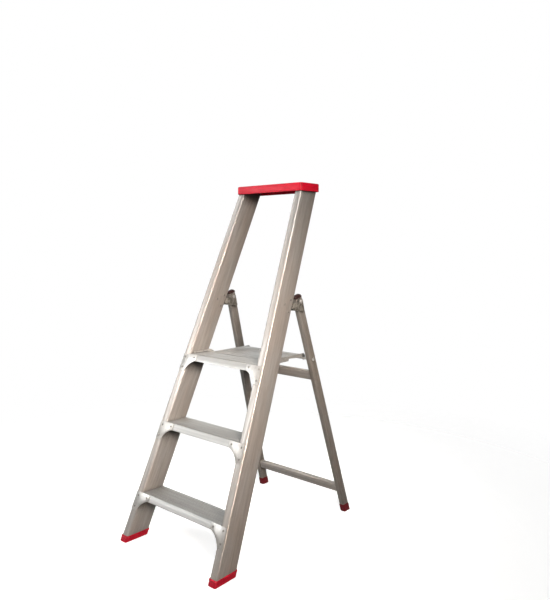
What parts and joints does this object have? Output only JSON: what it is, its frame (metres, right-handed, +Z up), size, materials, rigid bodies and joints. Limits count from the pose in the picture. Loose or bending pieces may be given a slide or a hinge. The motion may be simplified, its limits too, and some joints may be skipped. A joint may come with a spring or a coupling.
{
  "type": "step ladder",
  "caption": "Folding aluminium step ladder with ribbed treads, a hinged platform, tall side stiles joined by a red top cap, and a propping rear frame.",
  "frame": {"origin": "on the floor, at the middle of the box that holds the open ladder", "axes": "+Z up; the user climbs facing +Y, so the front stiles' feet are at -Y and the rear legs' feet at +Y; +X is the climber's right"},
  "size_m": [0.4916, 0.7604, 1.276],
  "materials": {
    "tube_aluminium": "drawn and lightly brushed along its length",
    "tread_aluminium": "extruded, ribbed, satin",
    "plate_aluminium": "pressed plate, satin",
    "bracket_steel": "zinc plated, dull",
    "bright_steel": "zinc plated, bright",
    "red_plastic": "moulded, satin",
    "dark_red_plastic": "moulded, worn",
    "dark_plastic": "moulded, matt",
    "nylon": "natural nylon"
  },
  "bodies": {
    "frame": {"stile_left": "tube_aluminium", "stile_right": "tube_aluminium", "front_shoe_left": "red_plastic", "front_shoe_right": "red_plastic", "top_cap": "red_plastic", "tread_1": "tread_aluminium", "tread_2": "tread_aluminium", "tread_3": "tread_aluminium", "gusset_1_left": "plate_aluminium", "gusset_1_right": "plate_aluminium", "end_angle_1_left": "plate_aluminium", "end_angle_1_right": "plate_aluminium", "gusset_2_left": "plate_aluminium", "gusset_2_right": "plate_aluminium", "end_angle_2_left": "plate_aluminium", "end_angle_2_right": "plate_aluminium", "gusset_3_left": "plate_aluminium", "gusset_3_right": "plate_aluminium", "end_angle_3_left": "plate_aluminium", "end_angle_3_right": "plate_aluminium", "hinge_bracket_left": "bracket_steel", "hinge_bracket_right": "bracket_steel", "hinge_pin_left": "bright_steel", "hinge_pin_right": "bright_steel", "washer_in_left": "nylon", "washer_in_right": "nylon", "washer_out_left": "nylon", "washer_out_right": "nylon", "pivot_plate_left": "plate_aluminium", "pivot_plate_right": "plate_aluminium", "deck_pin_left": "bright_steel", "deck_pin_right": "bright_steel", "deck_spacer_left": "nylon", "deck_spacer_right": "nylon"},
    "rear_frame": {"rear_leg_left": "tube_aluminium", "rear_leg_right": "tube_aluminium", "leg_cap_left": "dark_plastic", "leg_cap_right": "dark_plastic", "rear_shoe_left": "dark_red_plastic", "rear_shoe_right": "dark_red_plastic", "crossbar_upper": "tube_aluminium", "crossbar_lower": "tube_aluminium", "rest_rod": "bright_steel"},
    "deck": {"platform_deck": "tread_aluminium"}
  },
  "joints": [
    {"name": "rear_fold", "type": "hinge", "parent": "frame", "child": "rear_frame", "pos_m": [0, 0.11391, 0.847], "axis": [-1, 0, 0], "range_deg": [0, 39.2]},
    {"name": "deck_lift", "type": "hinge", "parent": "frame", "child": "deck", "pos_m": [0, 0.00288, 0.6365], "axis": [1, 0, 0], "range_deg": [0, 67]}
  ],
  "couplings": [
    {"joint": "deck_lift", "follows": "rear_fold", "ratio": 1.7}
  ]
}
